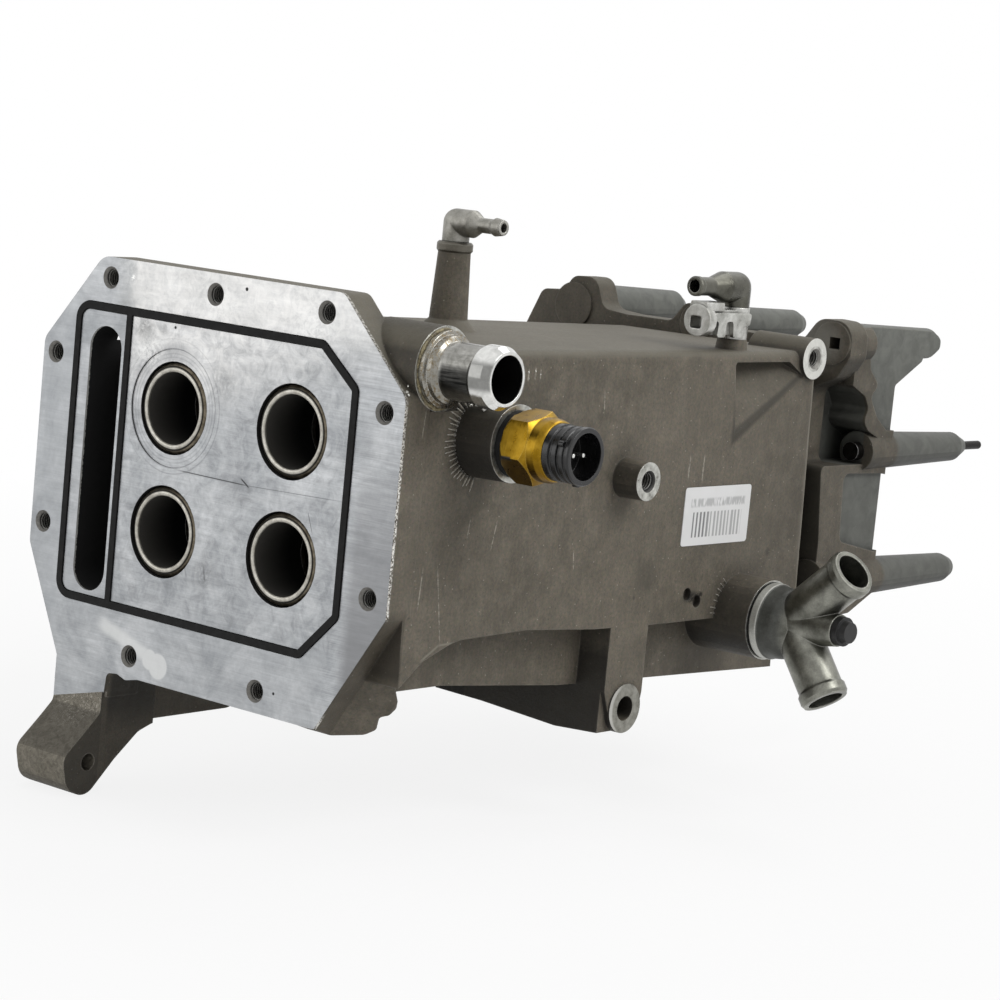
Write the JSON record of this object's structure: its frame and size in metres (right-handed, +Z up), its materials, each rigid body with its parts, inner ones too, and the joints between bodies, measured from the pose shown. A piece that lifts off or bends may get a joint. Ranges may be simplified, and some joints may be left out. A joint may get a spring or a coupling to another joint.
{
  "type": "exhaust gas recirculation cooler",
  "caption": "Cast exhaust gas cooler: ported and sealed front face, side nipple and brass sensor, vent elbows on top, branched coolant outlet, and tapered fingers behind.",
  "frame": {"origin": "centre of the pattern of four gas ports, on the machined front face", "axes": "+Y runs back along the core, away from the front face; +Z is up, towards the vents; +X points to the side with the nipple, sensor and branched outlet"},
  "size_m": [0.2631, 0.4404, 0.2493],
  "materials": {
    "cast_housing": "matte",
    "seal_rubber": "matte",
    "port_steel": "satin",
    "core_steel": "satin",
    "cover_aluminium": "satin",
    "screw_steel": "satin",
    "nipple_steel": "satin",
    "sensor_brass": "satin",
    "connector_plastic": "gloss",
    "pin_steel": "satin",
    "vent_metal": "satin",
    "clip_metal": "satin",
    "branch_metal": "satin",
    "plug_plastic": "matte",
    "bolt_dark": "satin",
    "label_white": "matte"
  },
  "bodies": {
    "root": {"housing": "cast_housing", "face_seal": "seal_rubber", "port_seals": "seal_rubber", "core_seal": "seal_rubber", "rear_cover_seal": "seal_rubber", "outlet_seal": "seal_rubber", "sensor_seal": "seal_rubber", "port_sleeve_upper_left": "port_steel", "port_sleeve_upper_right": "port_steel", "port_sleeve_lower_left": "port_steel", "port_sleeve_lower_right": "port_steel", "core_front_tank": "core_steel", "core_front_header": "core_steel", "core_rear_header": "core_steel", "core_tubes": "core_steel", "core_baffles": "core_steel", "core_turn_box": "core_steel", "rear_cover": "cover_aluminium", "rear_cover_screws": "screw_steel", "coolant_nipple": "nipple_steel", "sensor_body": "sensor_brass", "sensor_connector": "connector_plastic", "sensor_pins": "pin_steel", "front_vent_collar": "vent_metal", "front_vent_elbow": "vent_metal", "rear_vent_union": "vent_metal", "rear_vent_clip": "clip_metal", "rear_vent_elbow": "vent_metal", "branch_outlet": "branch_metal", "branch_plug": "plug_plastic", "long_bolt": "bolt_dark", "label": "label_white"}
  },
  "joints": []
}
